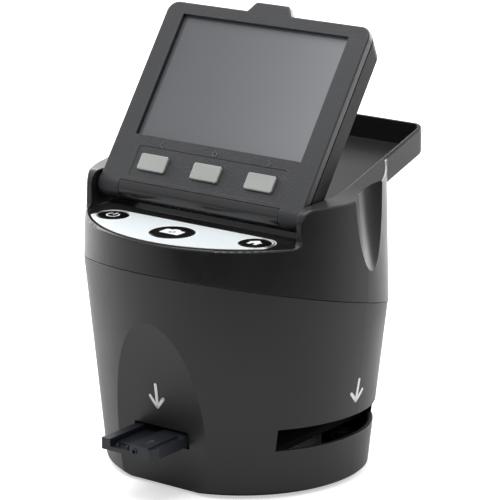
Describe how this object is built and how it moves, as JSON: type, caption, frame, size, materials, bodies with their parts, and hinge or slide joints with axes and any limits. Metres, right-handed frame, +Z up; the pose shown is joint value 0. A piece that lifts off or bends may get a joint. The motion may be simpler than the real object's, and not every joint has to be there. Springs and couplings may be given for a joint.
{
  "type": "film negative scanner",
  "caption": "Desktop film negative scanner: round two-shell housing with a tilting screen, push buttons, a side film slot and a sliding film adapter.",
  "frame": {"origin": "middle of the base plate's underside, below the centre of the round part of the outline; the rubber feet stand 1 mm lower", "axes": "+Z up; -Y towards the user and the front slot; +X to the right seen from the front, towards the side slot"},
  "size_m": [0.1168, 0.1181, 0.1683],
  "materials": {
    "housing_plastic": "fine satin moulded texture",
    "base_plastic": "plain moulded underside",
    "foot_rubber": "matt",
    "screw_steel": "zinc plated",
    "label_white": "printed film, semi gloss",
    "circuit_board": "solder mask",
    "button_black": "satin cap with printed white sign",
    "bezel_plastic": "spark eroded grain",
    "hinge_plastic": "satin",
    "cover_plastic": "spark eroded grain",
    "window_plastic": "smooth smoked panel over the display",
    "display_module": "display module frame",
    "key_silver": "painted warm silver",
    "pin_steel": "ground pin",
    "adapter_plastic": "satin",
    "gate_plastic": "matt black",
    "light_box_white": "matt white",
    "diffuser_white": "opal",
    "lens_black": "ribbed inside",
    "lens_glass": "coated",
    "socket_metal": "plated shell"
  },
  "bodies": {
    "root": {"lower_housing": "housing_plastic", "base_plate": "base_plastic", "rubber_feet": "foot_rubber", "base_screws": "screw_steel", "upper_housing": "housing_plastic", "control_label": "label_white", "deck_switch_board": "circuit_board", "hinge_pins": "pin_steel", "film_gate_lower": "gate_plastic", "film_gate_upper": "gate_plastic", "gate_spacers": "gate_plastic", "light_box": "light_box_white", "led_board": "circuit_board", "diffuser": "diffuser_white", "optics_frame": "gate_plastic", "lens_barrel": "lens_black", "lens_glass": "lens_glass", "sensor_board": "circuit_board", "main_board": "circuit_board", "usb_socket": "socket_metal", "video_socket": "socket_metal", "card_socket": "socket_metal"},
    "screen": {"screen_bezel": "bezel_plastic", "hinge_cover": "hinge_plastic", "screen_rear_cover": "cover_plastic", "screen_screws": "screw_steel", "screen_window": "window_plastic", "lcd_module": "display_module", "key_board": "circuit_board"},
    "key_left": {"key_left": "key_silver"},
    "key_middle": {"key_middle": "key_silver"},
    "key_right": {"key_right": "key_silver"},
    "power_button": {"power_button": "button_black"},
    "capture_button": {"capture_button": "button_black"},
    "home_button": {"home_button": "button_black"},
    "film_adapter": {"film_adapter": "adapter_plastic"}
  },
  "joints": [
    {"name": "screen_tilt", "type": "hinge", "parent": "root", "child": "screen", "pos_m": [0, -0.02186, 0.10154], "axis": [1, 0, 0], "range_deg": [-37.5, 20]},
    {"name": "key_left_press", "type": "slide", "parent": "screen", "child": "key_left", "axis": [0, 0.8121, -0.5835], "range_m": [0, 0.0007], "stiffness_N_per_m": 600, "springref_m": -0.0006},
    {"name": "key_middle_press", "type": "slide", "parent": "screen", "child": "key_middle", "axis": [0, 0.8121, -0.5835], "range_m": [0, 0.0007], "stiffness_N_per_m": 600, "springref_m": -0.0006},
    {"name": "key_right_press", "type": "slide", "parent": "screen", "child": "key_right", "axis": [0, 0.8121, -0.5835], "range_m": [0, 0.0007], "stiffness_N_per_m": 600, "springref_m": -0.0006},
    {"name": "power_button_press", "type": "slide", "parent": "root", "child": "power_button", "axis": [0, 0, -1], "range_m": [0, 0.0007], "stiffness_N_per_m": 600, "springref_m": -0.0006},
    {"name": "capture_button_press", "type": "slide", "parent": "root", "child": "capture_button", "axis": [0, 0, -1], "range_m": [0, 0.0007], "stiffness_N_per_m": 600, "springref_m": -0.0006},
    {"name": "home_button_press", "type": "slide", "parent": "root", "child": "home_button", "axis": [0, 0, -1], "range_m": [0, 0.0007], "stiffness_N_per_m": 600, "springref_m": -0.0006},
    {"name": "film_adapter_slide", "type": "slide", "parent": "root", "child": "film_adapter", "axis": [0, -1, 0], "range_m": [-0.012, 0.03]}
  ]
}
